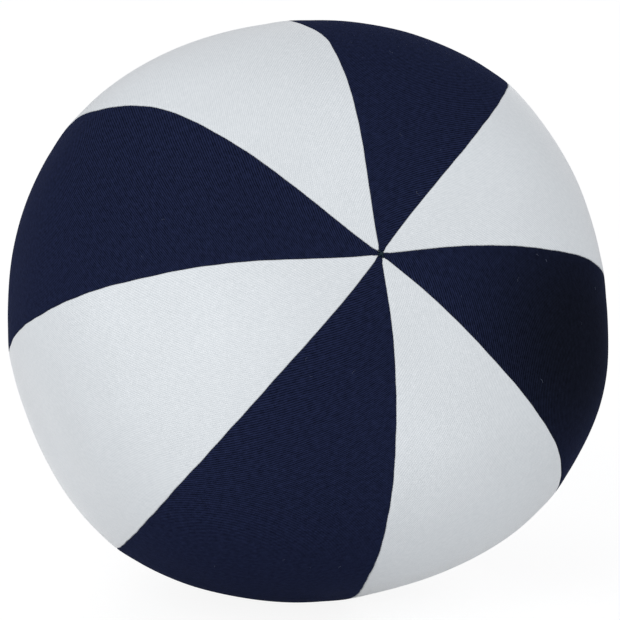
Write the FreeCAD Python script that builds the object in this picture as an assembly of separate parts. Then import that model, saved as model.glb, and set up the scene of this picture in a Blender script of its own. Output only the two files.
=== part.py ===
import FreeCAD, Part
import math
import os

# A stuffed ball sewn from eight lens-shaped gores of cotton twill, by turns white and navy.
# The gores meet at two poles, where a few turns of thread draw their points together. The
# ball is a little flatter from pole to pole than across its equator, and it lies on its
# side: one pole looks forward (-Y) and a little up, and one seam runs underneath, where the
# ball's own weight presses a small flat patch.
# Units are millimetres, +Z is up, and the origin is the middle of that patch.

# Overall form
BALL_WIDTH = 180.0          # across the equator, before the ball settles
POLE_TO_POLE = 149.0        # along the axis through both poles, before the ball settles
FULLNESS = 2.5              # exponent of its outline from pole to pole: an ellipse has 2
FRONT_POLE_RISE = 24.0      # degrees that the front pole points above level
SETTLING = 4.0              # height that the whole ball gives up under its own weight
REST_PATCH_DEPTH = 1.2      # how deep the floor then flattens the underside
PAIR_BULGE = 1.6            # gores are sewn in pairs: the seam inside a pair stands out by
                            # this, and the seam between two pairs stands in by as much

# Cloth
GORE_COUNT = 8
CLOTH = 0.5                 # thickness of the twill
SEAM_ALLOWANCE = 8.0        # width of the cloth turned under along each side of a gore
SEAM_RIDGE = 0.3            # how far the turned cloth lifts the surface along a seam

# Thread
SEAM_THREAD = 0.4           # thickness of the machine-sewn thread in a seam
THREAD_START = 2.5          # how far from the ball's axis that stitching starts
CLOSING_THREAD = 0.6        # thickness of the hand-sewn, doubled thread that closes the ball
CLOSING_SEAM = 2            # the seam left open for turning and stuffing
CLOSING_LENGTH = 64.0       # how long that opening is
CLOSING_SETBACK = 24.0      # how far behind the equator it begins
RUNG_PITCH = 4.0            # distance between the ladder stitch's rungs
RUNG_LENGTH = 3.0           # how far a rung reaches across the seam
RUNG_THREAD = 0.4           # thickness of a rung, a single strand
TACK_LENGTH = 2.4           # the tack's stitches over the eight points, outside
TACK_THREAD = 0.5           # thickness of that thread
TACK_BUNDLE = 1.2           # diameter of the bundle that passes between the points
TACK_KNOT = 3.0             # diameter of the knot inside
TACK_STITCHES = 2

# Stuffing
STUFFING_GAP = 0.3          # between the stuffing and the cloth or the knots

# How finely the curved surfaces are fitted
STATIONS_ALONG = 17         # from pole to pole
STATIONS_ACROSS = 9         # from one side of a gore to the other
HEIGHT_SAMPLES = 400        # along the lowest seam, to find its lowest point

RADIUS = BALL_WIDTH / 2
HALF_HEIGHT = POLE_TO_POLE / 2
SETTLED = 1 - SETTLING / BALL_WIDTH
GORE_ANGLE = 2 * math.pi / GORE_COUNT
FOLD = 2 * CLOTH            # depth of the cloth and its turned allowance together
FAR = 2 * BALL_WIDTH        # reaches past the ball from its centre
RISE = math.radians(FRONT_POLE_RISE)
VECTOR = FreeCAD.Vector

# Axes of the unsettled ball: to the front pole, then downward and sideways in the equator
FORWARD = VECTOR(0, -math.cos(RISE), math.sin(RISE))
UNDER = VECTOR(0, -math.sin(RISE), -math.cos(RISE))
ASIDE = VECTOR(1, 0, 0)


# ---- the ball's form ----

def settle(vector):
    """The whole ball is lowered towards its centre by one share."""
    return VECTOR(vector.x, vector.y, vector.z * SETTLED)


def outward(azimuth):
    """Direction from the axis to the equator. Azimuth 0 is underneath."""
    return UNDER * math.cos(azimuth) + ASIDE * math.sin(azimuth)


def seam_lift(radius, azimuth):
    """The rise over the turned cloth: full on a seam, gone where the allowance ends."""
    nearest_seam = round(azimuth / GORE_ANGLE) * GORE_ANGLE
    distance = abs(radius * (azimuth - nearest_seam))
    share = min(distance / SEAM_ALLOWANCE, 1)
    return SEAM_RIDGE * math.cos(math.pi / 2 * share) ** 2


def from_centre(slant, azimuth, inset=0, lifted=False):
    """The ball's surface from its centre. Slant is 0 at the front pole and pi at the back."""
    sine, cosine = math.sin(slant), math.cos(slant)
    across = (sine / (RADIUS - inset)) ** FULLNESS
    along = (abs(cosine) / (HALF_HEIGHT - inset)) ** FULLNESS
    distance = (across + along) ** (-1 / FULLNESS)
    radius = distance * sine - PAIR_BULGE * math.cos(azimuth * GORE_COUNT / 2) * sine ** 3
    if lifted:
        radius += seam_lift(radius, azimuth) * sine
    return settle(outward(azimuth) * radius + FORWARD * (distance * cosine))


SLANTS = [math.pi * sample / HEIGHT_SAMPLES for sample in range(HEIGHT_SAMPLES + 1)]
LOWEST = min(from_centre(slant, 0, lifted=True).z for slant in SLANTS)
CENTRE = VECTOR(0, 0, -LOWEST - REST_PATCH_DEPTH)
AXIS = settle(FORWARD).normalize()


def surface_over(first_gore, gores, inset, lifted=False):
    """The ball's surface from pole to pole over some neighbouring gores."""
    steps = STATIONS_ACROSS - 1
    rows = []
    for along in range(STATIONS_ALONG):
        slant = math.pi * along / (STATIONS_ALONG - 1)
        azimuths = [(first_gore + step / steps) * GORE_ANGLE for step in range(gores * steps + 1)]
        rows.append([CENTRE + from_centre(slant, azimuth, inset, lifted) for azimuth in azimuths])
    surface = Part.BSplineSurface()
    surface.interpolate(rows)
    return surface


def solid_within(faces):
    """Sews faces that meet edge to edge into a closed solid."""
    shell = Part.Shell(faces)
    shell.sewShape()
    return Part.Solid(shell)


def seam_section(curve):
    """The flat face between a seam's curve and the ball's axis."""
    edge = curve.toShape()
    front, back = edge.Vertexes[0].Point, edge.Vertexes[-1].Point
    return Part.Face(Part.Wire([edge, Part.makeLine(back, front)]))


def off_floor(shape, inset):
    """A form that lies some way inside the cloth's outside keeps that far above the floor."""
    room = Part.makeBox(2 * FAR, 2 * FAR, 2 * FAR, VECTOR(-FAR, -FAR, inset))
    return shape.common(room)


def segment(index, inset, lifted=False):
    """One gore's share of the ball, solid to the axis like a segment of an orange."""
    surface = surface_over(index, 1, inset, lifted)
    sides = [seam_section(surface.vIso(side)) for side in surface.bounds()[2:]]
    return off_floor(solid_within([surface.toShape()] + sides), inset)


def square_to_axis(azimuth):
    """Unit vector in a seam's plane, square to the axis of the settled ball."""
    edge = settle(outward(azimuth))
    return (edge - AXIS * edge.dot(AXIS)).normalize()


def wedge(index, side_inset):
    """The room between the planes of a gore's two seams, both moved inwards."""
    first = square_to_axis(index * GORE_ANGLE)
    last = square_to_axis((index + 1) * GORE_ANGLE)
    setback = side_inset / math.sin(first.getAngle(last) / 2)
    apex = CENTRE - AXIS * FAR + (first + last).normalize() * setback
    triangle = Part.makePolygon([apex, apex + first * FAR, apex + last * FAR, apex])
    return Part.Face(triangle).extrude(AXIS * 2 * FAR)


def hollow(index):
    """The room under a gore between its two turned allowances, where the cloth is single."""
    return segment(index, CLOTH).common(wedge(index, SEAM_ALLOWANCE))


# ---- thread ----

def in_seam(slant, seam, inset):
    """A point in a seam's plane, at a depth below the surface."""
    return CENTRE + from_centre(slant, seam * GORE_ANGLE, inset)


def band_insets(width):
    """The two edges of a band that lies halfway down the folded edges of the cloth."""
    middle = (FOLD - SEAM_RIDGE) / 2
    return middle - width / 2, middle + width / 2


def seam_band(seam, width):
    """A flat band in a seam's plane, from pole to pole."""
    stations = 2 * STATIONS_ALONG
    sections = []
    for inset in band_insets(width):
        curve = Part.BSplineCurve()
        curve.interpolate([in_seam(math.pi * step / stations, seam, inset) for step in range(stations + 1)])
        sections.append(off_floor(seam_section(curve), inset))
    return sections[0].cut(sections[1])


def sector(seam, first_slant, last_slant):
    """The part of a seam's plane between two slants."""
    reach = FAR / RADIUS
    ends = [CENTRE + from_centre(slant, seam * GORE_ANGLE) * reach for slant in (first_slant, last_slant)]
    return Part.Face(Part.makePolygon([CENTRE] + ends + [CENTRE]))


def thicken(face, seam, width):
    """Gives a flat face in a seam's plane its width, half to each side."""
    across = AXIS.cross(square_to_axis(seam * GORE_ANGLE)).normalize()
    moved = face.translated(across * (-width / 2))
    return moved.extrude(across * width)


OPENING_START = math.pi / 2 + CLOSING_SETBACK / RADIUS
OPENING_END = OPENING_START + CLOSING_LENGTH / RADIUS


def seam_thread(seam):
    """One seam's machine stitching. The closing seam has it on both sides of the opening."""
    band = seam_band(seam, SEAM_THREAD)
    if seam == CLOSING_SEAM:
        band = band.cut(sector(seam, OPENING_START, OPENING_END))
    around_axis = Part.makeCylinder(THREAD_START, 2 * FAR, CENTRE - AXIS * FAR, AXIS)
    return thicken(band, seam, SEAM_THREAD).cut(around_axis)


def rung(slant):
    """One rung of the ladder stitch, from fold to fold across the seam."""
    upper, lower = band_insets(RUNG_THREAD)
    end = slant + RUNG_THREAD / RADIUS
    corners = [in_seam(slant, CLOSING_SEAM, upper), in_seam(end, CLOSING_SEAM, upper),
               in_seam(end, CLOSING_SEAM, lower), in_seam(slant, CLOSING_SEAM, lower)]
    face = Part.Face(Part.makePolygon(corners + corners[:1]))
    return thicken(face, CLOSING_SEAM, RUNG_LENGTH)


def closing_stitch():
    """The hand-sewn ladder stitch: a line along the opening, and rungs into both folds."""
    line = seam_band(CLOSING_SEAM, CLOSING_THREAD).common(sector(CLOSING_SEAM, OPENING_START, OPENING_END))
    stitch = thicken(line, CLOSING_SEAM, CLOSING_THREAD)
    for step in range(int(CLOSING_LENGTH / RUNG_PITCH)):
        stitch = stitch.fuse(rung(OPENING_START + (step + 0.5) * RUNG_PITCH / RADIUS))
    return stitch


def pole_tack(slant, gap=0):
    """Stitches over the eight points, the bundle between them and the knot inside them."""
    pole = CENTRE + from_centre(slant, 0)
    inwards = (CENTRE - pole).normalize()
    stitch_height = pole - inwards * (TACK_THREAD / 2)
    knot_centre = pole + inwards * (FOLD + TACK_KNOT / 2)
    depth = stitch_height.distanceToPoint(knot_centre)
    tack = Part.makeCylinder(TACK_BUNDLE / 2 + gap, depth, stitch_height, inwards)
    tack = tack.fuse(Part.makeSphere(TACK_KNOT / 2 + gap, knot_centre))
    for stitch in range(TACK_STITCHES):
        along = square_to_axis((stitch / TACK_STITCHES + 1 / GORE_COUNT) * math.pi)
        start = stitch_height - along * (TACK_LENGTH / 2)
        tack = tack.fuse(Part.makeCylinder(TACK_THREAD / 2, TACK_LENGTH, start, along))
    return tack


# ---- the pieces ----

def gore(index, sewn_in):
    """A curved lens of cloth, doubled along both sides by its turned allowances."""
    piece = segment(index, 0, lifted=True).cut(segment(index, FOLD)).cut(hollow(index))
    between_points = Part.makeCylinder(TACK_BUNDLE / 2, 2 * FAR, CENTRE - AXIS * FAR, AXIS)
    for taken_up in [between_points] + sewn_in:
        piece = piece.cut(taken_up)
    return piece


def fibrefill():
    """The stuffing, which fills the ball up to the turned allowances and the knots."""
    inset = FOLD + STUFFING_GAP
    half = GORE_COUNT // 2
    halves = [surface_over(first, half, inset).toShape() for first in (0, half)]
    filling = off_floor(solid_within(halves), inset)
    for slant in (0, math.pi):
        filling = filling.cut(pole_tack(slant, STUFFING_GAP))
    return filling


def export(shape, node):
    """Writes one node. Solids that belong together stay together in it."""
    solids = shape.Solids
    piece = solids[0] if len(solids) == 1 else Part.Compound(solids)
    piece.exportStep("parts/" + node + ".step")
    print(node, len(solids), "solid(s),", round(piece.Volume, 1), "mm3, valid:", piece.isValid())


os.makedirs("parts", exist_ok=True)
threads = [seam_thread(seam) for seam in range(GORE_COUNT)]
closing = closing_stitch()

for index in range(GORE_COUNT):
    sewn_in = [threads[index], threads[(index + 1) % GORE_COUNT]]
    if CLOSING_SEAM in (index, index + 1):
        sewn_in.append(closing)
    colour = "navy" if index % 2 else "white"
    export(gore(index, sewn_in), colour + "_gore_" + str(index // 2 + 1))
for seam, thread in enumerate(threads):
    export(thread, "seam_thread_" + str(seam + 1))
export(closing, "closing_stitch")
export(pole_tack(0), "front_pole_tack")
export(pole_tack(math.pi), "back_pole_tack")
export(fibrefill(), "fibrefill")
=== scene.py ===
import math

import bpy
import numpy as np
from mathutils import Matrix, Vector, noise


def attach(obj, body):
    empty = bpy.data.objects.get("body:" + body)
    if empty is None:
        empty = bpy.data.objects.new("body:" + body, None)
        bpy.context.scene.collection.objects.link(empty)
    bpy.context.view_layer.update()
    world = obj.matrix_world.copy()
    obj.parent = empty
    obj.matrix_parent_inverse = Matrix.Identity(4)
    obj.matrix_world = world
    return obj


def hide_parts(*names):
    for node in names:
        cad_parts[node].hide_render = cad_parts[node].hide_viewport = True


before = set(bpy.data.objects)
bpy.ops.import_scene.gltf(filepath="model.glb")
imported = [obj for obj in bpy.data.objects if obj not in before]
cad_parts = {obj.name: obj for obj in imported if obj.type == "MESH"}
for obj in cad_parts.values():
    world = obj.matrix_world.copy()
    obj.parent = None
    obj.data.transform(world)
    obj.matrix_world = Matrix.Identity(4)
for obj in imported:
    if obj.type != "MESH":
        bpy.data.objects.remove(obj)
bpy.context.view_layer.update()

# A stuffed ball sewn from eight lens-shaped gores of cotton twill, by turns white and navy.
# It lies on one seam, with the front pole forward (-Y) and a little up. The gores are sheets
# of cloth, whose fullness comes from a pressure simulation of the whole cover.
# The ball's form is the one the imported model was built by, in metres.

MM = 0.001

# ---- the ball's form ----

RADIUS = 90.0 * MM
HALF_HEIGHT = 74.5 * MM
FULLNESS = 2.5
RISE = math.radians(24)
SETTLED = 1 - 4.0 / 180.0       # what is left of its height at rest
PATCH_DEPTH = 1.2 * MM          # how deep the floor flattens the underside
PATCH_BLEND = 0.5 * MM          # the cloth leaves the floor in a soft curve,
NEAR_FLOOR = 6 * MM             # which is over at this height
CENTRE_HEIGHT = 88.08 * MM      # over the form's lowest point, before the floor flattens it
CENTRE = np.array((0, 0, CENTRE_HEIGHT - PATCH_DEPTH))
PAIR_BULGE = 1.6 * MM
SEAM_RIDGE = 0.3 * MM
ALLOWANCE = 8.0 * MM            # cloth turned under along each side of a gore
GORES = 8
GORE_ANGLE = 2 * math.pi / GORES

FORWARD = np.array((0, -math.cos(RISE), math.sin(RISE)))
UNDER = np.array((0, -math.sin(RISE), -math.cos(RISE)))
ASIDE = np.array((1.0, 0, 0))

# How far the ball stands out at each seam, in mm, from the one underneath towards +X
SEAM_CORNERS = [0.0, 0.6, 0.2, 0.6, -0.2, 0.1, 1.0, -0.3]
CORNER_WIDTH = math.radians(11)     # how far round the ball a seam's corner reaches
# and how much fuller than the next each gore between two seams was stuffed
GORE_FULLNESS = [0.1, 1.2, -0.6, 0.2, -0.3, 0.2, -0.2, -0.6]
# How far each seam bows sideways beside the front pole, in mm
SEAM_BOWS = [0.6, -0.2, 1.3, 0.2, -0.3, -0.2, -1.0, 0.0]
# Where a seam strays sideways from its plane: (seam, mm, from which slant, to which slant)
SEAM_STRAYS = [(0, 5.6, 72, 98), (1, -0.8, 58, 70), (2, -1.7, 51, 65), (4, 3.9, 53, 68), (4, -3.9, 72, 140),
               (5, 4.5, 52, 74), (5, -4.5, 80, 140), (6, 0.7, 55, 75), (6, 0.9, 91, 99), (7, 2.9, 56, 110)]
STRAY_FADES = (math.radians(108), math.radians(155))    # slants between which strays die away
SEAM_SWAY = 0.4 * MM            # every seam bows a little between a pole and the equator
SEAM_WOBBLE = 0.06 * MM         # and no hand guides the cloth quite evenly
WOBBLE_LENGTHS = (9 * MM, 23 * MM)
POINT_TWIST = math.radians(2.6)     # the tack turned the points, and less and less beyond them
TWIST_REACH = math.radians(21)

# ---- the cloth ----

CLOTH = 0.5 * MM
FOLD_RADIUS = 0.42 * MM         # the rolled edge of a gore, seen from above
FOLD_SHARE = 0.22               # and the most of a gore's width that it takes
ALLOWANCE_SHARE = 0.46          # the same for an allowance
LAYER_GAP = 0.08                # of the cloth's thickness, that each of two layers leaves between them
POLE_HOLE = 0.45 * MM           # what the navy points leave open for the tack
WHITE_POINT_SHORT = 1.1 * MM    # the white points end this far from the middle
POINT_CROWDING = 2.8 * MM       # nearer the middle, the navy points crowd the white ones
MOST_CROWDED = 0.85             # by this share of a gore's angle
TWILL_PITCH = 0.59 * MM         # from rib to rib
TWILL_TURN = math.radians(-48)  # the ribs' slant to a gore's long middle line
RIB_DEPTH = 0.12 * MM
FLOAT_LENGTH = 0.75 * MM        # of one yarn's float along a rib
SLUB_SIZE = 9 * MM              # thicker places in the yarn
FIBRE_SIZE = 1.0 * MM           # across the ribs
FIBRE_STRETCH = 0.5             # and longer along them
FADE_SIZE = 40 * MM             # broad, faint differences in the dye
# Painted shade on the navy: its colour is darkened round a place on the ball's front right, the side away
# from the key light. It is full within the first distance below and gone beyond the second.
PAINTED_SHADE_CENTRE = (62 * MM, -60 * MM, 86 * MM)    # centre of the painted shade
PAINTED_SHADE_FULL_WITHIN = 8 * MM
PAINTED_SHADE_REACH = 58 * MM
STATIONS_ALONG = 240
STATIONS_ACROSS = 56
CROWDED_ALONG = 0.10            # stations stand closer near the points
CROWDED_ACROSS = 0.176          # and near the folds
ALLOWANCE_STATIONS = (1.0, 0.75, 0.5, 0.28, 0.12)
FOLD_STATIONS = (-75, -45, -15, 15, 40, 62, 80)     # degrees round the fold

# ---- the cover under pressure ----

COVER_ALONG = 88                # its grid, from pole to pole
COVER_AROUND = 96
LUMP_SIZE = 26 * MM             # lumps of stuffing
LUMP_HEIGHT = 0.5 * MM
SMALL_LUMPS = (0.4, 2.3)        # smaller ones on them: how high, and how much finer
START_INSET = 0.6 * MM          # the cover starts smaller, because it swells
PANEL_EASE = 0.004              # the gores are cut a little full
SEAM_DRAW = -0.003              # the doubled cloth keeps each seam from drawing in
COVER_CLOTH = {
    "quality": 8, "mass": 0.3, "tension_stiffness": 15, "compression_stiffness": 15,
    "shear_stiffness": 5, "bending_stiffness": 0.5, "use_pressure": True,
    "uniform_pressure_force": 20.0, "vertex_group_mass": "held", "vertex_group_shrink": "seams",
    "shrink_min": -PANEL_EASE, "shrink_max": SEAM_DRAW}
COVER_FRAMES = 20
MOST_MOVE = 1.3 * MM            # the furthest that a point may move
POLE_HOLD = 0.12                # slant within which the tacks hold the cloth

# ---- thread ----

SEAM_THREAD = 0.26 * MM
STITCH = 2.5 * MM               # length of a machine stitch
STITCH_SHOWN = 0.92             # the share of it that lies on top
STITCH_SPREAD = 0.45            # its two strands lie this share of the thread to either side
STITCH_CROSSING = 0.35          # and the one across lies this share of it higher
STITCH_DEPTH = 0.36 * MM        # down between the folds
SEAM_START = 0.033              # slant where the stitching starts, beside a pole
SEAM_STATIONS = 160
CLOSING_SEAM = 2
OPENING_START = math.pi / 2 + 24.0 / 90.0
OPENING_END = OPENING_START + 64.0 / 90.0
CLOSING_THREAD = 0.34 * MM      # hand-sewn ladder stitch
CLOSING_DEPTH = 0.16 * MM
RUNG_PITCH = 4.0 * MM
RUNG_REACH = 1.7 * MM
RUNG_SLANT = 0.5 * MM
TACK_THICKNESS = 0.42 * MM
TACK_STITCHES = ((96, 1.9), (48, 1.5), (-24, 2.6))    # over a pole: direction in degrees, length in mm
TACK_CROWN = 0.15 * MM          # how high a stitch's middle stands
TACK_STACK = 0.12 * MM          # and how much higher than the last one it lies
TACK_DIP = 0.9 * CLOTH          # how deep its ends go into the cloth
TACK_STRANDS = 0.24 * MM        # how far the strands to the knot are from their middle
STRANDS_START = 0.2 * MM        # below the pole
STRANDS_PAST = 0.7 * MM         # below the cloth's two layers, where they end
STRANDS_TWIST = 1.2 * MM        # over which they turn by a radian
KNOT_DEPTH = 1.5 * MM           # below the cloth's two layers
TACK_TWIST = 1.1 * MM           # over which the three plies go round once
TACK_STEP = 0.14 * MM           # between the rings of a ply's mesh
PLY_RADIUS = 0.26               # of the thread's thickness
KNOT_SIZE = 2.3 * MM

# ---- stuffing ----

STUFFING_DEPTH = 1.5 * MM       # below the cover, clear of the turned allowances
STUFFING_AT_POLE = 5.0 * MM     # and of the knots
TUFT_SIZE = 12 * MM
TUFT_DEPTH = 1.6 * MM
SMALL_TUFTS = (0.3, 3)          # smaller ones on them: how deep, and how much finer

# ---- lint ----

LINT_DENSITY = 1200.0           # fibres per square metre
LINT_LENGTH = 1.5 * MM
LINT_THICKNESS = 0.05 * MM
LINT_GRID = (60, 16)            # points along and across a gore, for it to lie on
LINT_MARGINS = (0.15, 0.04)     # slant beside a pole, and share of a gore beside a seam, without any
LINT_HEIGHT = 0.02 * MM         # above the cloth


def settle(points):
    """The whole ball is lowered towards its centre by one share."""
    return points * np.array((1, 1, SETTLED))


def turn_between(azimuth, other):
    """The shorter turn from one azimuth to another."""
    return np.angle(np.exp(1j * (azimuth - other)))


def unevenness(azimuth):
    """How far the hand-stuffed ball stands out: at a seam, and between two seams."""
    rise = np.zeros_like(azimuth)
    for number in range(GORES):
        from_seam = turn_between(azimuth, number * GORE_ANGLE)
        rise += SEAM_CORNERS[number] * MM * np.exp(-(from_seam / CORNER_WIDTH) ** 2)
        from_middle = turn_between(azimuth, (number + 0.5) * GORE_ANGLE)
        share = np.minimum(np.abs(from_middle) / GORE_ANGLE, 0.5)
        rise += GORE_FULLNESS[number] * MM * np.cos(math.pi * share) ** 2
    return rise


def eased(values, start, end):
    """A smooth step from 0 to 1."""
    share = np.clip((values - start) / (end - start), 0, 1)
    return share ** 2 * (3 - 2 * share)


def stray(slant, azimuth, radius):
    """The turn about the axis by which the sewing left its plane, here."""
    fading = 1 - eased(slant, *STRAY_FADES)
    bowed = np.sin(3 * np.minimum(slant, math.pi / 3)) ** 2
    sideways = -SEAM_SWAY * np.sin(2 * slant) ** 2
    strayed = [bow * bowed for bow in SEAM_BOWS]
    for seam, distance, start, end in SEAM_STRAYS:
        strayed[seam] = strayed[seam] + distance * eased(slant, math.radians(start), math.radians(end))
    for seam, distance in enumerate(strayed):
        nearness = np.maximum(1 - np.abs(turn_between(azimuth, seam * GORE_ANGLE)) / GORE_ANGLE, 0)
        sideways = sideways + distance * MM * np.sin(math.pi / 2 * nearness) ** 2
    for number, length in enumerate(WOBBLE_LENGTHS, 3):
        phase = 2 * math.pi * slant * RADIUS / length + number * azimuth
        sideways = sideways + SEAM_WOBBLE * np.sin(phase) * np.sin(slant)
    twist = POINT_TWIST * np.exp(-(slant / TWIST_REACH) ** 2)
    return twist + fading * sideways / np.maximum(radius, 1 * MM)


def seam_lift(radius, azimuth):
    """The rise over the turned cloth: full on a seam, gone where the allowance ends."""
    nearest = np.round(azimuth / GORE_ANGLE) * GORE_ANGLE
    share = np.minimum(np.abs(radius * (azimuth - nearest)) / ALLOWANCE, 1)
    return SEAM_RIDGE * np.cos(math.pi / 2 * share) ** 2


def on_form(slant, azimuth):
    """(distance from the axis, distance along it) on the unsettled ball."""
    slant, azimuth = np.broadcast_arrays(slant, azimuth)
    sine, cosine = np.sin(slant), np.cos(slant)
    across = (sine / RADIUS) ** FULLNESS
    along = (np.abs(cosine) / HALF_HEIGHT) ** FULLNESS
    distance = (across + along) ** (-1 / FULLNESS)
    radius = distance * sine - PAIR_BULGE * np.cos(azimuth * GORES / 2) * sine ** 3
    radius = radius + unevenness(azimuth) * sine ** 3
    radius = radius + seam_lift(radius, azimuth) * sine
    return radius, distance * cosine


def from_centre(slant, azimuth):
    """The ball's surface from its centre. Slant is 0 at the front pole and pi at the back."""
    radius, height = on_form(slant, azimuth)
    turned = azimuth + stray(slant, azimuth, radius)
    out = np.cos(turned)[..., None] * UNDER + np.sin(turned)[..., None] * ASIDE
    return settle(out * radius[..., None] + FORWARD * height[..., None])


def above_floor(points):
    """Presses points up to the floor, and lets the cloth leave it in a soft curve."""
    height = points[..., 2]
    pressed = 0.5 * (height + np.sqrt(height ** 2 + PATCH_BLEND ** 2))
    share = np.clip(1 - height / NEAR_FLOOR, 0, 1)
    lifted = points.copy()
    lifted[..., 2] = height * (1 - share) + pressed * share
    return lifted


def mesh_object(name, points, faces, smooth=True):
    """A mesh piece at the origin, with its place in its mesh."""
    mesh = bpy.data.meshes.new(name)
    mesh.from_pydata([tuple(p) for p in points], [], faces)
    mesh.validate()
    if smooth:
        mesh.shade_smooth()
    piece = bpy.data.objects.new(name, mesh)
    bpy.context.scene.collection.objects.link(piece)
    return piece


# ---- the cover, as one closed bag under pressure ----

def cover_faces(rows, columns):
    """The bag's faces: a grid round the ball, closed by a fan at each pole."""
    faces = []
    for row in range(rows - 1):
        for column in range(columns):
            after = (column + 1) % columns
            a, b = row * columns + column, row * columns + after
            faces.append((a, a + columns, b + columns, b))
    front, back = rows * columns, rows * columns + 1
    last = (rows - 1) * columns
    for column in range(columns):
        after = (column + 1) % columns
        faces.append((front, column, after))
        faces.append((back, last + after, last + column))
    return faces


def cover_grid():
    """The slants and azimuths of the cover's grid, which leaves the poles out."""
    slants = np.linspace(0, math.pi, COVER_ALONG + 1)[1:-1]
    azimuths = np.arange(COVER_AROUND) * 2 * math.pi / COVER_AROUND
    return np.meshgrid(slants, azimuths, indexing="ij")


def stuffing_lumps(points):
    """Low, soft lumps of stuffing under the cloth, as a height at each point."""
    share, finer = SMALL_LUMPS
    places = [Vector(p) / LUMP_SIZE for p in points.reshape(-1, 3)]
    heights = [noise.noise(p) + share * noise.noise(p * finer) for p in places]
    return LUMP_HEIGHT * np.array(heights).reshape(points.shape[:-1])


def blown_up_cover():
    """How each point of the cover's grid moves from the plain form, rows x columns x 3."""
    slants, azimuths = cover_grid()
    plain = from_centre(slants, azimuths)
    outward = plain / np.linalg.norm(plain, axis=-1, keepdims=True)
    lumps = stuffing_lumps(plain) * np.sin(slants)
    start = plain + outward * (lumps - START_INSET)[..., None]
    tips = from_centre(np.array((0.0, math.pi)), np.zeros(2))
    tips *= 1 - START_INSET / HALF_HEIGHT
    points = np.concatenate([start.reshape(-1, 3), tips])
    bag = mesh_object("bag", points, cover_faces(*slants.shape))
    held = bag.vertex_groups.new(name="held")
    held.add([slants.size, slants.size + 1], 1.0, "REPLACE")
    seams = bag.vertex_groups.new(name="seams")
    from_seam = np.abs(azimuths - np.round(azimuths / GORE_ANGLE) * GORE_ANGLE)
    seams.add([int(i) for i in np.nonzero(from_seam.ravel() < 0.01)[0]], 1.0, "REPLACE")
    cloth = bag.modifiers.new("cloth", "CLOTH")
    for setting, value in COVER_CLOTH.items():
        setattr(cloth.settings, setting, value)
    cloth.settings.effector_weights.gravity = 0
    cloth.collision_settings.use_collision = False
    cloth.point_cache.frame_start = 1
    cloth.point_cache.frame_end = COVER_FRAMES
    for number in range(1, COVER_FRAMES + 1):
        bpy.context.scene.frame_set(number)
    blown = bag.evaluated_get(bpy.context.evaluated_depsgraph_get())
    moved = np.array([v.co for v in blown.data.vertices])[:-2].reshape(plain.shape)
    bpy.data.objects.remove(bag)
    bpy.context.scene.frame_set(1)
    moves = moved - plain
    far = np.linalg.norm(moves, axis=-1, keepdims=True)
    return moves * np.minimum(1, MOST_MOVE / np.maximum(far, 1e-9))


MOVES = blown_up_cover()


def spline_weights(share):
    """A cubic B-spline's four weights, which carry the moves smoothly between grid points."""
    rest = 1 - share
    return (rest ** 3 / 6, (3 * share ** 3 - 6 * share ** 2 + 4) / 6,
            (3 * rest ** 3 - 6 * rest ** 2 + 4) / 6, share ** 3 / 6)


def cover_move(slant, azimuth):
    """The cover's move at any place."""
    rows, columns = MOVES.shape[:2]
    row = slant / math.pi * COVER_ALONG - 1
    column = azimuth / (2 * math.pi) * columns
    first_row, first_column = np.floor(row).astype(int), np.floor(column).astype(int)
    down, aside = spline_weights(row - first_row), spline_weights(column - first_column)
    total = np.zeros(slant.shape + (3,))
    for i in range(4):
        from_row = np.clip(first_row + i - 1, 0, rows - 1)
        for j in range(4):
            weight = (down[i] * aside[j])[..., None]
            total += weight * MOVES[from_row, (first_column + j - 1) % columns]
    near_pole = np.clip(np.minimum(slant, math.pi - slant) / POLE_HOLD, 0, 1)
    return total * near_pole[..., None]


def cover(slant, azimuth, depth=0.0):
    """The finished cover's surface, or a place at some depth straight below it."""
    def surface(slants, azimuths):
        return above_floor(CENTRE + from_centre(slants, azimuths) + cover_move(slants, azimuths))

    slant, azimuth = np.broadcast_arrays(slant, azimuth)
    nudge = 1e-3
    along = surface(slant + nudge, azimuth) - surface(slant - nudge, azimuth)
    beside = surface(slant, azimuth + nudge) - surface(slant, azimuth - nudge)
    normal = np.cross(along, beside)
    normal /= np.linalg.norm(normal, axis=-1, keepdims=True)
    return surface(slant, azimuth) - normal * np.asarray(depth)[..., None], normal


# ---- the gores ----

def gore_section(width):
    """Across a gore, from one raw edge round both folds to the other raw edge.

    Each place has its distance from the first seam, for every width along the gore, and
    the depths of the cloth's two faces."""
    fold = np.minimum(FOLD_RADIUS, FOLD_SHARE * width)
    turned = np.minimum(ALLOWANCE, ALLOWANCE_SHARE * width)
    side = []
    for share in ALLOWANCE_STATIONS:
        side.append((fold + (turned - fold) * share, 2 * CLOTH, (1 + LAYER_GAP) * CLOTH))
    for degrees in FOLD_STATIONS:
        turn = math.radians(degrees)
        side.append((fold * (1 - math.cos(turn)), CLOTH * (1 - math.sin(turn)),
                     CLOTH * (1 - LAYER_GAP * math.sin(turn))))
    middle = []
    for step in range(STATIONS_ACROSS + 1):
        share = step / STATIONS_ACROSS
        share -= CROWDED_ACROSS * math.sin(2 * math.pi * share) / math.pi
        middle.append((fold + (width - 2 * fold) * share, 0.0, (1 - LAYER_GAP) * CLOTH))
    other_side = [(width - distance, face, back) for distance, face, back in reversed(side)]
    return side + middle + other_side


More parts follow.
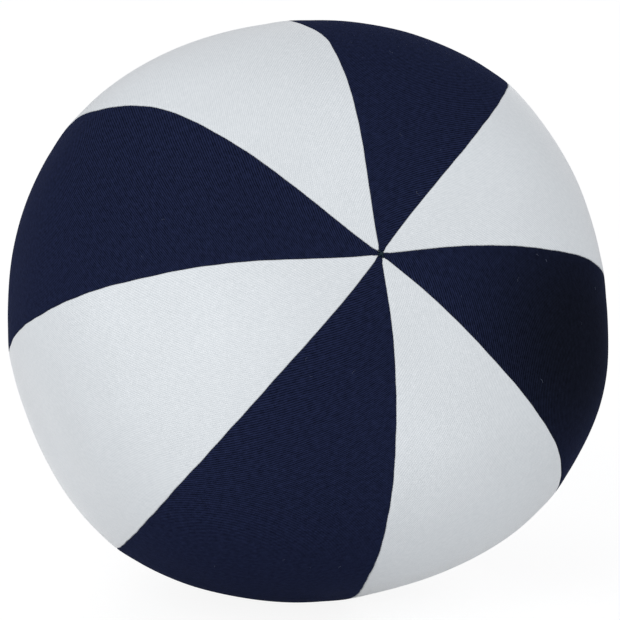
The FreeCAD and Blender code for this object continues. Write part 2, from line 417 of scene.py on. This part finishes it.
def sheet_faces(rows, columns):
    """A closed sheet's faces: its face layer, its back layer and the raw edges all round."""
    layer = rows * columns
    faces = []
    for row in range(rows - 1):
        for column in range(columns - 1):
            a = row * columns + column
            faces.append((a, a + columns, a + columns + 1, a + 1))
            faces.append((layer + a, layer + a + 1, layer + a + columns + 1, layer + a + columns))
        a = row * columns
        b = a + columns - 1
        faces.append((a, layer + a, layer + a + columns, a + columns))
        faces.append((b, b + columns, layer + b + columns, layer + b))
    for a in range(columns - 1):
        b = (rows - 1) * columns + a
        faces.append((a, a + 1, layer + a + 1, layer + a))
        faces.append((b, layer + b, layer + b + 1, b + 1))
    return faces


def gore(index, name):
    """One gore, with its turned allowances and its flat pattern in metres as a UV map."""
    navy = index % 2
    start = math.asin((POLE_HOLE if navy else WHITE_POINT_SHORT) / HALF_HEIGHT)
    steps = np.linspace(0, 1, STATIONS_ALONG)
    steps = steps - CROWDED_ALONG * np.sin(2 * math.pi * steps) / math.pi
    slants = start + (math.pi - 2 * start) * steps
    radius, height = on_form(slants, np.full_like(slants, (index + 0.5) * GORE_ANGLE))
    crowded = eased(-radius, -POINT_CROWDING, -POLE_HOLE)
    widened = MOST_CROWDED * crowded * (1 if navy else -1)
    angle = GORE_ANGLE * (1 + widened)
    first = (index + 0.5) * GORE_ANGLE - angle / 2
    width = radius * angle
    length = np.concatenate([[0], np.cumsum(np.hypot(np.diff(radius), np.diff(height)))])
    distance, face_depth, back_depth = (
        np.array([np.broadcast_to(place[part], slants.shape) for place in gore_section(width)]).T
        for part in range(3))
    azimuths = first[:, None] + distance / radius[:, None]
    slants = np.broadcast_to(slants[:, None], azimuths.shape)
    face, normal = cover(slants, azimuths, face_depth)
    back = face + normal * (face_depth - back_depth)[..., None]
    points = np.concatenate([face.reshape(-1, 3), back.reshape(-1, 3)])
    piece = mesh_object(name, points, sheet_faces(*azimuths.shape))
    along = np.broadcast_to(length[:, None], distance.shape)
    pattern = np.stack([distance - width[:, None] / 2, along], axis=-1)
    pattern = np.tile(pattern.reshape(-1, 2), (2, 1))
    corners = np.zeros(len(piece.data.loops), dtype=np.int64)
    piece.data.loops.foreach_get("vertex_index", corners)
    piece.data.uv_layers.new(name="flat_pattern").data.foreach_set("uv", pattern[corners].ravel())
    turned = np.minimum(ALLOWANCE, ALLOWANCE_SHARE * width)
    cut = (float(width.max() + 2 * ALLOWANCE), float(length[-1]))
    return piece, cut, float(np.trapz(width + 2 * turned, length))


# ---- nodes and materials ----

def colour(hex_value):
    """An sRGB hex colour as the linear colour a shader takes."""
    channels = [int(hex_value[i:i + 2], 16) / 255 for i in (1, 3, 5)]
    linear = [c / 12.92 if c <= 0.04045 else ((c + 0.055) / 1.055) ** 2.4 for c in channels]
    return (*linear, 1.0)


def node(tree, kind, feeds=None, **settings):
    """Adds a node with its settings, and feeds its inputs from other nodes or with values."""
    made = tree.nodes.new(kind)
    for name, value in settings.items():
        setattr(made, name, value)
    for socket, value in (feeds or {}).items():
        if isinstance(value, bpy.types.NodeSocket):
            tree.links.new(value, made.inputs[socket])
        else:
            made.inputs[socket].default_value = value
    return made


def new_material(name):
    material = bpy.data.materials.new(name)
    material.use_nodes = True
    material.node_tree.nodes.clear()
    return material, material.node_tree


def twill(name, ground, rib, painted_shade_tint, rib_height, shader_values):
    """Cotton twill: fine slanting ribs, each broken into the short floats of its yarns.

    Round one place its colour is multiplied by a given tint, which darkens it there as painted shade."""
    material, tree = new_material(name)
    pattern = node(tree, "ShaderNodeUVMap", uv_map="flat_pattern")
    turned = node(tree, "ShaderNodeMapping", {"Vector": pattern.outputs[0],
                                              "Rotation": (0, 0, TWILL_TURN)})
    parts = node(tree, "ShaderNodeSeparateXYZ", {0: turned.outputs[0]})
    slubs = node(tree, "ShaderNodeTexNoise", {"Vector": turned.outputs[0], "Scale": 1 / SLUB_SIZE,
                                              "Detail": 3.0})
    wander = node(tree, "ShaderNodeMath", {0: slubs.outputs[0], 1: 3.2}, operation="MULTIPLY")
    rib_phase = node(tree, "ShaderNodeMath", {0: parts.outputs[0], 1: 2 * math.pi / TWILL_PITCH,
                                              2: wander.outputs[0]}, operation="MULTIPLY_ADD")
    ribs = node(tree, "ShaderNodeMath", {0: rib_phase.outputs[0]}, operation="SINE")
    float_phase = node(tree, "ShaderNodeMath", {0: parts.outputs[1], 1: 2 * math.pi / FLOAT_LENGTH,
                                                2: rib_phase.outputs[0]}, operation="MULTIPLY_ADD")
    floats = node(tree, "ShaderNodeMath", {0: float_phase.outputs[0]}, operation="SINE")
    weave = node(tree, "ShaderNodeMath", {0: floats.outputs[0], 1: 0.35, 2: ribs.outputs[0]},
                 operation="MULTIPLY_ADD")
    height = node(tree, "ShaderNodeMapRange", {0: weave.outputs[0], 1: -1.1, 2: 1.1},
                  interpolation_type="SMOOTHSTEP")
    drawn_out = node(tree, "ShaderNodeVectorMath", {0: turned.outputs[0], 1: (1.0, FIBRE_STRETCH, 1.0)},
                     operation="MULTIPLY")
    fibres = node(tree, "ShaderNodeTexNoise", {"Vector": drawn_out.outputs[0], "Scale": 1 / FIBRE_SIZE,
                                               "Detail": 4.0, "Roughness": 0.75})
    grain = node(tree, "ShaderNodeMapRange", {0: fibres.outputs[0], 1: 0.32, 2: 0.68})
    tone = node(tree, "ShaderNodeMix", {0: 0.4, 2: height.outputs[0], 3: grain.outputs[0]},
                data_type="FLOAT")
    dyed = node(tree, "ShaderNodeMix", {0: tone.outputs[0], 6: colour(ground), 7: colour(rib)},
                data_type="RGBA")
    place = node(tree, "ShaderNodeTexCoord")
    broad = node(tree, "ShaderNodeTexNoise", {"Vector": place.outputs["Object"],
                                              "Scale": 1 / FADE_SIZE})
    fade = node(tree, "ShaderNodeMapRange", {0: broad.outputs[0], 1: 0.3, 2: 0.7, 3: 0.97, 4: 1.03})
    uneven = node(tree, "ShaderNodeMix", {0: 1.0, 6: dyed.outputs[2], 7: fade.outputs[0]},
                  data_type="RGBA", blend_type="MULTIPLY")
    # painted shade: the colour is multiplied by the tint, fully near one place and less and less further off
    away = node(tree, "ShaderNodeVectorMath", {0: place.outputs["Object"], 1: PAINTED_SHADE_CENTRE},
                operation="DISTANCE")
    painted_shade_share = node(tree, "ShaderNodeMapRange", {0: away.outputs[1], 1: PAINTED_SHADE_REACH, 2: PAINTED_SHADE_FULL_WITHIN},
                   interpolation_type="SMOOTHSTEP")
    painted_shade_colour = node(tree, "ShaderNodeMix", {0: painted_shade_share.outputs[0], 6: uneven.outputs[2], 7: colour(painted_shade_tint)},
                 data_type="RGBA", blend_type="MULTIPLY")
    bump = node(tree, "ShaderNodeBump", {"Height": height.outputs[0], "Strength": rib_height,
                                         "Distance": RIB_DEPTH})
    shader = node(tree, "ShaderNodeBsdfPrincipled", {"Base Color": painted_shade_colour.outputs[2],
                                                     "Normal": bump.outputs[0], **shader_values})
    node(tree, "ShaderNodeOutputMaterial", {0: shader.outputs[0]})
    return material


def spun(name, ground, light, grain, shader_values):
    """Spun fibre: tiny darker and lighter fibres, with the soft bump they make."""
    material, tree = new_material(name)
    place = node(tree, "ShaderNodeTexCoord")
    fibres = node(tree, "ShaderNodeTexNoise", {"Vector": place.outputs["Object"], "Scale": 1 / grain,
                                               "Detail": 4.0})
    dyed = node(tree, "ShaderNodeMix", {0: fibres.outputs[0], 6: colour(ground), 7: colour(light)},
                data_type="RGBA")
    bump = node(tree, "ShaderNodeBump", {"Height": fibres.outputs[0], "Strength": 0.4,
                                         "Distance": grain / 4})
    shader = node(tree, "ShaderNodeBsdfPrincipled", {"Base Color": dyed.outputs[2],
                                                     "Normal": bump.outputs[0], **shader_values})
    node(tree, "ShaderNodeOutputMaterial", {0: shader.outputs[0]})
    return material


# Dyed cotton: dark and matt, with painted shade that makes it darker and less blue on the ball's front right
NAVY_TWILL = twill("navy cotton twill", "#05070F", "#272E4D", "#C1BA9D", 0.32, {
    "Roughness": 0.9, "Specular IOR Level": 0.01,
    "Sheen Weight": 0.05, "Sheen Roughness": 0.4, "Sheen Tint": colour("#5A6AA8")})
# Bleached cotton: bright and quite matt, a little cool
WHITE_TWILL = twill("white cotton twill", "#D3D8DB", "#ECEFF1", "#FFFFFF", 0.3, {
    "Roughness": 0.9, "Specular IOR Level": 0.25,
    "Sheen Weight": 1.0, "Sheen Roughness": 0.4, "Sheen Tint": colour("#FFFFFF")})
# Spun polyester thread: a soft lustre along its plies
NAVY_THREAD = spun("navy polyester thread", "#0B111C", "#27314A", 0.3 * MM, {
    "Roughness": 0.55, "Sheen Weight": 0.2, "Sheen Roughness": 0.4})
TACK_THREAD = spun("dark blue polyester thread", "#030609", "#183240", 0.3 * MM, {
    "Roughness": 0.6, "Specular IOR Level": 0.2,
    "Sheen Weight": 0.08, "Sheen Roughness": 0.4, "Sheen Tint": colour("#7FC0D0")})
# Polyester fibrefill: crimped white fibres, loose and matt
FIBREFILL = spun("white polyester fibrefill", "#DCDCD8", "#F6F6F2", 1.5 * MM, {
    "Roughness": 0.95, "Sheen Weight": 0.3, "Sheen Roughness": 0.6})
# Stray cotton fibres caught on the cloth
LINT = spun("pale cotton lint", "#4E566C", "#8C93A6", 0.3 * MM, {"Roughness": 0.9})


# ---- what repeats, or follows a path ----

def new_tree(name, inputs):
    """An empty geometry tree with named inputs for its sizes."""
    tree = bpy.data.node_groups.new(name, "GeometryNodeTree")
    tree.interface.new_socket("Geometry", in_out="INPUT", socket_type="NodeSocketGeometry")
    for label in inputs:
        tree.interface.new_socket(label, in_out="INPUT", socket_type="NodeSocketFloat")
    tree.interface.new_socket("Geometry", in_out="OUTPUT", socket_type="NodeSocketGeometry")
    return tree, tree.nodes.new("NodeGroupInput")


def close_tree(tree, geometry, material):
    """Ends a tree with real, smooth, dressed geometry."""
    real = node(tree, "GeometryNodeRealizeInstances", {0: geometry})
    smooth = node(tree, "GeometryNodeSetShadeSmooth", {0: real.outputs[0]})
    dressed = node(tree, "GeometryNodeSetMaterial", {0: smooth.outputs[0]})
    dressed.inputs["Material"].default_value = material
    node(tree, "NodeGroupOutput", {0: dressed.outputs[0]})
    return tree


def swept(tree, path, ring):
    """A ring carried along a path, closed at both ends."""
    return node(tree, "GeometryNodeCurveToMesh", {0: path, 1: ring.outputs[0], "Fill Caps": True})


def strand(tree, start, end, thickness):
    """A short straight strand of thread as a mesh."""
    line = node(tree, "GeometryNodeCurvePrimitiveLine", {"Start": start, "End": end})
    half = node(tree, "ShaderNodeMath", {0: thickness, 1: 0.5}, operation="MULTIPLY")
    ring = node(tree, "GeometryNodeCurvePrimitiveCircle", {"Resolution": 5, "Radius": half.outputs[0]})
    return swept(tree, line.outputs[0], ring)


def stitch_tree(name, material):
    """Stitches along a seam: a strand along each side, and one that crosses between stitches."""
    tree, sizes = new_tree(name, ["Stitch length", "Thread thickness", "Reach across", "Slant"])
    length, thickness, reach, slant = (sizes.outputs[i] for i in range(1, 5))
    half = node(tree, "ShaderNodeMath", {0: length, 1: STITCH_SHOWN / 2}, operation="MULTIPLY")
    back = node(tree, "ShaderNodeMath", {0: length, 1: -STITCH_SHOWN / 2}, operation="MULTIPLY")
    join = node(tree, "GeometryNodeJoinGeometry")
    for side in (STITCH_SPREAD, -STITCH_SPREAD):
        offset = node(tree, "ShaderNodeMath", {0: thickness, 1: side}, operation="MULTIPLY")
        start = node(tree, "ShaderNodeCombineXYZ", {0: back.outputs[0], 1: offset.outputs[0]})
        end = node(tree, "ShaderNodeCombineXYZ", {0: half.outputs[0], 1: offset.outputs[0]})
        beside = strand(tree, start.outputs[0], end.outputs[0], thickness)
        tree.links.new(beside.outputs[0], join.inputs[0])
    right = node(tree, "ShaderNodeMath", {0: reach, 1: 0.5}, operation="MULTIPLY")
    left = node(tree, "ShaderNodeMath", {0: reach, 1: -0.5}, operation="MULTIPLY")
    ahead = node(tree, "ShaderNodeMath", {0: slant, 1: 0.5}, operation="MULTIPLY")
    behind = node(tree, "ShaderNodeMath", {0: slant, 1: -0.5}, operation="MULTIPLY")
    raised = node(tree, "ShaderNodeMath", {0: thickness, 1: STITCH_CROSSING}, operation="MULTIPLY")
    start = node(tree, "ShaderNodeCombineXYZ", {0: behind.outputs[0], 1: left.outputs[0],
                                                2: raised.outputs[0]})
    end = node(tree, "ShaderNodeCombineXYZ", {0: ahead.outputs[0], 1: right.outputs[0],
                                              2: raised.outputs[0]})
    rung = strand(tree, start.outputs[0], end.outputs[0], thickness)
    tree.links.new(rung.outputs[0], join.inputs[0])
    path = node(tree, "GeometryNodeMeshToCurve", {0: sizes.outputs[0]})
    spaced = node(tree, "GeometryNodeResampleCurve", {"Curve": path.outputs[0], "Length": length},
                  mode="LENGTH")
    out = node(tree, "GeometryNodeInputNamedAttribute", {"Name": "outward"}, data_type="FLOAT_VECTOR")
    along = node(tree, "GeometryNodeInputTangent")
    up = node(tree, "FunctionNodeAlignRotationToVector", {"Vector": out.outputs[0]}, axis="Z")
    turned = node(tree, "FunctionNodeAlignRotationToVector", {"Rotation": up.outputs[0],
                                                              "Vector": along.outputs[0]},
                  axis="X", pivot_axis="Z")
    stitches = node(tree, "GeometryNodeInstanceOnPoints", {"Points": spaced.outputs[0],
                                                           "Instance": join.outputs[0],
                                                           "Rotation": turned.outputs[0]})
    return close_tree(tree, stitches.outputs[0], material)


def plied_tree(name, material):
    """A thread of three twisted plies along each path."""
    tree, sizes = new_tree(name, ["Thread thickness", "Twist length"])
    thickness, twist = sizes.outputs[1], sizes.outputs[2]
    path = node(tree, "GeometryNodeMeshToCurve", {0: sizes.outputs[0]})
    spaced = node(tree, "GeometryNodeResampleCurve", {"Curve": path.outputs[0], "Length": TACK_STEP},
                  mode="LENGTH")
    ply = node(tree, "ShaderNodeMath", {0: thickness, 1: PLY_RADIUS}, operation="MULTIPLY")
    along = node(tree, "GeometryNodeSplineParameter")
    turns = node(tree, "ShaderNodeMath", {0: along.outputs["Length"], 1: twist}, operation="DIVIDE")
    tangent = node(tree, "GeometryNodeInputTangent")
    normal = node(tree, "GeometryNodeInputNormal")
    across = node(tree, "ShaderNodeVectorMath", {0: tangent.outputs[0], 1: normal.outputs[0]},
                  operation="CROSS_PRODUCT")
    ring = node(tree, "GeometryNodeCurvePrimitiveCircle", {"Resolution": 6, "Radius": ply.outputs[0]})
    join = node(tree, "GeometryNodeJoinGeometry")
    for number in range(3):
        angle = node(tree, "ShaderNodeMath", {0: turns.outputs[0], 1: 2 * math.pi,
                                              2: 2 * math.pi * number / 3}, operation="MULTIPLY_ADD")
        parts = []
        for direction, operation in ((normal, "COSINE"), (across, "SINE")):
            wave = node(tree, "ShaderNodeMath", {0: angle.outputs[0]}, operation=operation)
            reach = node(tree, "ShaderNodeMath", {0: wave.outputs[0], 1: ply.outputs[0]},
                         operation="MULTIPLY")
            parts.append(node(tree, "ShaderNodeVectorMath", {0: direction.outputs[0],
                                                             "Scale": reach.outputs[0]}, operation="SCALE"))
        offset = node(tree, "ShaderNodeVectorMath", {0: parts[0].outputs[0], 1: parts[1].outputs[0]})
        moved = node(tree, "GeometryNodeSetPosition", {"Geometry": spaced.outputs[0],
                                                       "Offset": offset.outputs[0]})
        tree.links.new(swept(tree, moved.outputs[0], ring).outputs[0], join.inputs[0])
    return close_tree(tree, join.outputs[0], material)


def lint_tree(name, material):
    """A few short, bent fibres lying on the cloth at any angle."""
    tree, sizes = new_tree(name, ["Fibres per square metre", "Fibre length", "Fibre thickness"])
    density, length, thickness = (sizes.outputs[i] for i in range(1, 4))
    spots = node(tree, "GeometryNodeDistributePointsOnFaces", {"Mesh": sizes.outputs[0],
                                                               "Density": density, "Seed": 11})
    end = node(tree, "ShaderNodeCombineXYZ", {0: length})
    bend = node(tree, "ShaderNodeMath", {0: length, 1: 0.35}, operation="MULTIPLY")
    middle = node(tree, "ShaderNodeCombineXYZ", {0: bend.outputs[0], 1: bend.outputs[0]})
    fibre = node(tree, "GeometryNodeCurveQuadraticBezier", {"Resolution": 6, "Middle": middle.outputs[0],
                                                            "End": end.outputs[0], "Start": (0, 0, 0)})
    half = node(tree, "ShaderNodeMath", {0: thickness, 1: 0.5}, operation="MULTIPLY")
    ring = node(tree, "GeometryNodeCurvePrimitiveCircle", {"Resolution": 3, "Radius": half.outputs[0]})
    body = swept(tree, fibre.outputs[0], ring)
    spin = node(tree, "FunctionNodeRandomValue", {"Min": (0, 0, 0), "Max": (0, 0, 2 * math.pi), "Seed": 3},
                data_type="FLOAT_VECTOR")
    turned = node(tree, "FunctionNodeRotateRotation", {0: spots.outputs["Rotation"], 1: spin.outputs[0]},
                  rotation_space="LOCAL")
    size = node(tree, "FunctionNodeRandomValue", {"Min": (0.3, 0.3, 1), "Max": (1.2, 1.2, 1), "Seed": 5},
                data_type="FLOAT_VECTOR")
    fibres = node(tree, "GeometryNodeInstanceOnPoints", {"Points": spots.outputs[0],
                                                         "Instance": body.outputs[0],
                                                         "Rotation": turned.outputs[0],
                                                         "Scale": size.outputs[0]})
    return close_tree(tree, fibres.outputs[0], material)


def grown(name, tree, base, sizes):
    """Runs a tree on a base and keeps the result as a plain mesh piece."""
    modifier = base.modifiers.new(tree.name, "NODES")
    modifier.node_group = tree
    for socket in tree.interface.items_tree:
        if socket.in_out == "INPUT" and socket.name in sizes:
            modifier[socket.identifier] = sizes[socket.name]
    evaluated = base.evaluated_get(bpy.context.evaluated_depsgraph_get())
    piece = bpy.data.objects.new(name, bpy.data.meshes.new_from_object(evaluated))
    bpy.context.scene.collection.objects.link(piece)
    base.modifiers.remove(modifier)
    bpy.data.objects.remove(base)
    return piece


def path_object(paths, outwards=None):
    """Paths as one object of edges, with the direction out of the ball if it is given."""
    points = np.concatenate(paths)
    edges, first = [], 0
    for path in paths:
        edges += [(i, i + 1) for i in range(first, first + len(path) - 1)]
        first += len(path)
    mesh = bpy.data.meshes.new("path")
    mesh.from_pydata([tuple(p) for p in points], edges, [])
    if outwards is not None:
        out = mesh.attributes.new("outward", "FLOAT_VECTOR", "POINT")
        out.data.foreach_set("vector", np.concatenate(outwards).ravel().astype(np.float32))
    base = bpy.data.objects.new("path", mesh)
    bpy.context.scene.collection.objects.link(base)
    return base


def seam_path(seam, first, last, depth):
    """The line along a seam between two slants, at a depth below the cloth."""
    slants = np.linspace(first, last, SEAM_STATIONS)
    return cover(slants, np.full_like(slants, seam * GORE_ANGLE), np.full_like(slants, depth))


def finished(piece, nodes):
    """Rides on the ball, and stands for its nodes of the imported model."""
    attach(piece, "root")
    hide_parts(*nodes)


# ---- the pieces ----

for index in range(GORES):
    shade = "navy" if index % 2 else "white"
    part = str(index // 2 + 1)
    piece, cut, cut_area = gore(index, shade + "_twill_gore_" + part)
    piece.data.materials.append(NAVY_TWILL if index % 2 else WHITE_TWILL)
    finished(piece, [shade + "_gore_" + part])
    print(piece.name, "cut", [round(x / MM, 1) for x in cut], "area", round(cut_area * 1e4, 1), "cm2")

LOCKSTITCH = stitch_tree("lockstitch", NAVY_THREAD)
for seam in range(GORES):
    spans = [(SEAM_START, math.pi - SEAM_START)]
    if seam == CLOSING_SEAM:
        spans = [(SEAM_START, OPENING_START), (OPENING_END, math.pi - SEAM_START)]
    lines = [seam_path(seam, first, last, STITCH_DEPTH) for first, last in spans]
    base = path_object([line[0] for line in lines], [line[1] for line in lines])
    piece = grown("seam_stitches_" + str(seam + 1), LOCKSTITCH, base, {
        "Stitch length": STITCH, "Thread thickness": SEAM_THREAD, "Reach across": 3 * SEAM_THREAD,
        "Slant": 0.0})
    finished(piece, ["seam_thread_" + str(seam + 1)])

LADDER = stitch_tree("ladder stitch", NAVY_THREAD)
line, out = seam_path(CLOSING_SEAM, OPENING_START, OPENING_END, CLOSING_DEPTH)
piece = grown("ladder_stitch", LADDER, path_object([line], [out]), {
    "Stitch length": RUNG_PITCH, "Thread thickness": CLOSING_THREAD, "Reach across": RUNG_REACH,
    "Slant": RUNG_SLANT})
finished(piece, ["closing_stitch"])


def tack_paths(slant):
    """The tack at a pole: stitches over the points, strands between them, and a knot inside."""
    pole = CENTRE + from_centre(np.array(slant), np.array(0.0))
    inward = (CENTRE - pole) / np.linalg.norm(CENTRE - pole)
    side = np.cross(inward, (1.0, 0, 0))
    side /= np.linalg.norm(side)
    other = np.cross(inward, side)
    paths = []
    turn = np.linspace(-1, 1, 15)
    for number, (degrees, length) in enumerate(TACK_STITCHES):
        angle = math.radians(degrees)
        along = side * math.cos(angle) + other * math.sin(angle)
        height = TACK_CROWN * (1 - turn ** 2) + number * TACK_STACK - TACK_DIP * np.abs(turn) ** 5
        paths.append(pole + np.outer(turn * length * MM / 2, along) - np.outer(height, inward))
    drop = np.linspace(STRANDS_START, 2 * CLOTH + STRANDS_PAST, 10)
    for number in range(3):
        angle = 2 * math.pi * number / 3 + drop / STRANDS_TWIST
        ring = np.outer(np.cos(angle), side) + np.outer(np.sin(angle), other)
        paths.append(pole + np.outer(drop, inward) + ring * TACK_STRANDS)
    knot_centre = pole + inward * (2 * CLOTH + KNOT_DEPTH)
    t = np.linspace(0, 2 * math.pi, 90)
    knot = (np.outer(np.sin(t) + 2 * np.sin(2 * t), side) + np.outer(np.cos(t) - 2 * np.cos(2 * t), other)
            - np.outer(np.sin(3 * t), inward))
    paths.append(knot_centre + knot * KNOT_SIZE / 6)
    return paths


PLIED = plied_tree("plied thread", TACK_THREAD)
for end, slant in (("front", 0.0), ("back", math.pi)):
    piece = grown(end + "_tack", PLIED, path_object(tack_paths(slant)), {
        "Thread thickness": TACK_THICKNESS, "Twist length": TACK_TWIST})
    finished(piece, [end + "_pole_tack"])


def stuffing():
    """The fibrefill, as full as the cover lets it be, with tufts and hollows all over."""
    slants, azimuths = cover_grid()
    places, _ = cover(slants, azimuths)
    spots = [Vector(p) / TUFT_SIZE for p in places.reshape(-1, 3)]
    share, finer = SMALL_TUFTS
    tufts = [0.5 + 0.5 * noise.noise(p) + share * noise.noise(p * finer) for p in spots]
    depth = STUFFING_DEPTH + TUFT_DEPTH * np.clip(np.array(tufts), 0, 1).reshape(slants.shape)
    places, _ = cover(slants, azimuths, depth)
    poles = CENTRE + from_centre(np.array((0.0, math.pi)), np.zeros(2)) * (1 - STUFFING_AT_POLE / HALF_HEIGHT)
    return mesh_object("stuffing", np.concatenate([places.reshape(-1, 3), poles]),
                       cover_faces(*slants.shape))


piece = stuffing()
piece.data.materials.append(FIBREFILL)
finished(piece, ["fibrefill"])


def navy_faces():
    """The outside of the navy gores alone, just above the cloth, for lint to lie on."""
    rows, columns = LINT_GRID
    off_pole, off_seam = LINT_MARGINS
    points, faces = [], []
    for index in range(1, GORES, 2):
        slants = np.linspace(off_pole, math.pi - off_pole, rows)
        azimuths = (index + np.linspace(off_seam, 1 - off_seam, columns)) * GORE_ANGLE
        slants, azimuths = np.meshgrid(slants, azimuths, indexing="ij")
        places, _ = cover(slants, azimuths, np.full(slants.shape, -LINT_HEIGHT))
        first = sum(len(group) for group in points)
        points.append(places.reshape(-1, 3))
        faces += [(first + a, first + a + columns, first + a + columns + 1, first + a + 1)
                  for a in range((rows - 1) * columns) if a % columns < columns - 1]
    return mesh_object("navy faces", np.concatenate(points), faces)


piece = grown("lint", lint_tree("lint", LINT), navy_faces(), {
    "Fibres per square metre": LINT_DENSITY, "Fibre length": LINT_LENGTH,
    "Fibre thickness": LINT_THICKNESS})
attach(piece, "root")

# ---- floor, light and camera ----

FLOOR_HALF = 6.0
FLOOR_DROP = 0.2 * MM
GLOW_SHARE = 0.8                # the rest of the floor's white is lit, and keeps the shadow
GLOW = 1.12
SOFT_LIGHT = 0.61               # from all round
LIGHTS = [("key softbox", (-1.5, -1.3, 1.3), (1.4, 1.4), 18.3),     # place and size in m, power in W
          ("fill softbox", (1.2, -1.8, 0.9), (1.6, 1.6), 0.6),
          ("low softbox", (0.5, -1.9, 0.2), (1.6, 0.4), 4.4)]
CAMERA_AZIMUTH = math.radians(-17.71)
CAMERA_ELEVATION = math.radians(11.3)
CAMERA_DISTANCE = 0.978
CAMERA = {"lens": 188.23, "sensor_width": 36, "shift_x": 0.0048, "shift_y": 0.0035,
          "clip_start": 0.05, "clip_end": 30}


def seen_directly(tree):
    """1 for what the camera sees, also in a reflection or through something, and 0 for light."""
    path = node(tree, "ShaderNodeLightPath")
    seen = node(tree, "ShaderNodeMath", {0: path.outputs["Is Camera Ray"],
                                         1: path.outputs["Is Glossy Ray"]}, operation="MAXIMUM")
    return node(tree, "ShaderNodeMath", {0: seen.outputs[0], 1: path.outputs["Is Transmission Ray"]},
                operation="MAXIMUM")


def floor_piece():
    """A pale floor that glows white to the eye, and keeps the ball's shadow."""
    corners = [(x * FLOOR_HALF, y * FLOOR_HALF, -FLOOR_DROP)
               for x, y in ((-1, -1), (1, -1), (1, 1), (-1, 1))]
    piece = mesh_object("floor", corners, [(0, 1, 2, 3)])
    material, tree = new_material("pale floor")
    seen = seen_directly(tree)
    matt = node(tree, "ShaderNodeBsdfDiffuse", {0: colour("#F4F4F4")})
    share = node(tree, "ShaderNodeMath", {0: seen.outputs[0], 1: GLOW_SHARE}, operation="MULTIPLY")
    glow = node(tree, "ShaderNodeEmission", {0: colour("#FFFFFF"), 1: GLOW})
    lit = node(tree, "ShaderNodeMixShader", {0: share.outputs[0], 1: matt.outputs[0],
                                             2: glow.outputs[0]})
    node(tree, "ShaderNodeOutputMaterial", {0: lit.outputs[0]})
    piece.data.materials.append(material)


def studio_world():
    """Soft light from all round, behind which the camera sees plain white."""
    world = bpy.data.worlds.new("studio")
    bpy.context.scene.world = world
    world.use_nodes = True
    tree = world.node_tree
    tree.nodes.clear()
    seen = seen_directly(tree)
    soft = node(tree, "ShaderNodeBackground", {0: colour("#F4F6FA"), 1: SOFT_LIGHT})
    white = node(tree, "ShaderNodeBackground", {0: colour("#FFFFFF"), 1: 1.0})
    mixed = node(tree, "ShaderNodeMixShader", {0: seen.outputs[0], 1: soft.outputs[0],
                                               2: white.outputs[0]})
    node(tree, "ShaderNodeOutputWorld", {0: mixed.outputs[0]})


def softbox(name, place, size, power):
    """A rectangular light, turned to the ball's centre."""
    light = bpy.data.lights.new(name, "AREA")
    light.shape = "RECTANGLE"
    light.size, light.size_y = size
    light.energy = power
    lamp = bpy.data.objects.new(name, light)
    lamp.location = place
    lamp.rotation_mode = "QUATERNION"
    lamp.rotation_quaternion = (Vector(CENTRE) - lamp.location).to_track_quat("-Z", "Y")
    bpy.context.scene.collection.objects.link(lamp)


def studio_camera():
    """The camera, turned to the ball's centre."""
    camera = bpy.data.cameras.new("camera")
    for setting, value in CAMERA.items():
        setattr(camera, setting, value)
    viewer = bpy.data.objects.new("camera", camera)
    level = math.cos(CAMERA_ELEVATION)
    towards = Vector((math.sin(CAMERA_AZIMUTH) * level, -math.cos(CAMERA_AZIMUTH) * level,
                      math.sin(CAMERA_ELEVATION)))
    viewer.location = Vector(CENTRE) + towards * CAMERA_DISTANCE
    viewer.rotation_mode = "QUATERNION"
    viewer.rotation_quaternion = (-towards).to_track_quat("-Z", "Y")
    bpy.context.scene.collection.objects.link(viewer)
    bpy.context.scene.camera = viewer


floor_piece()
studio_world()
for light_name, light_place, light_size, light_power in LIGHTS:
    softbox(light_name, Vector(light_place), light_size, light_power)
studio_camera()
bpy.context.scene.view_settings.view_transform = "Standard"
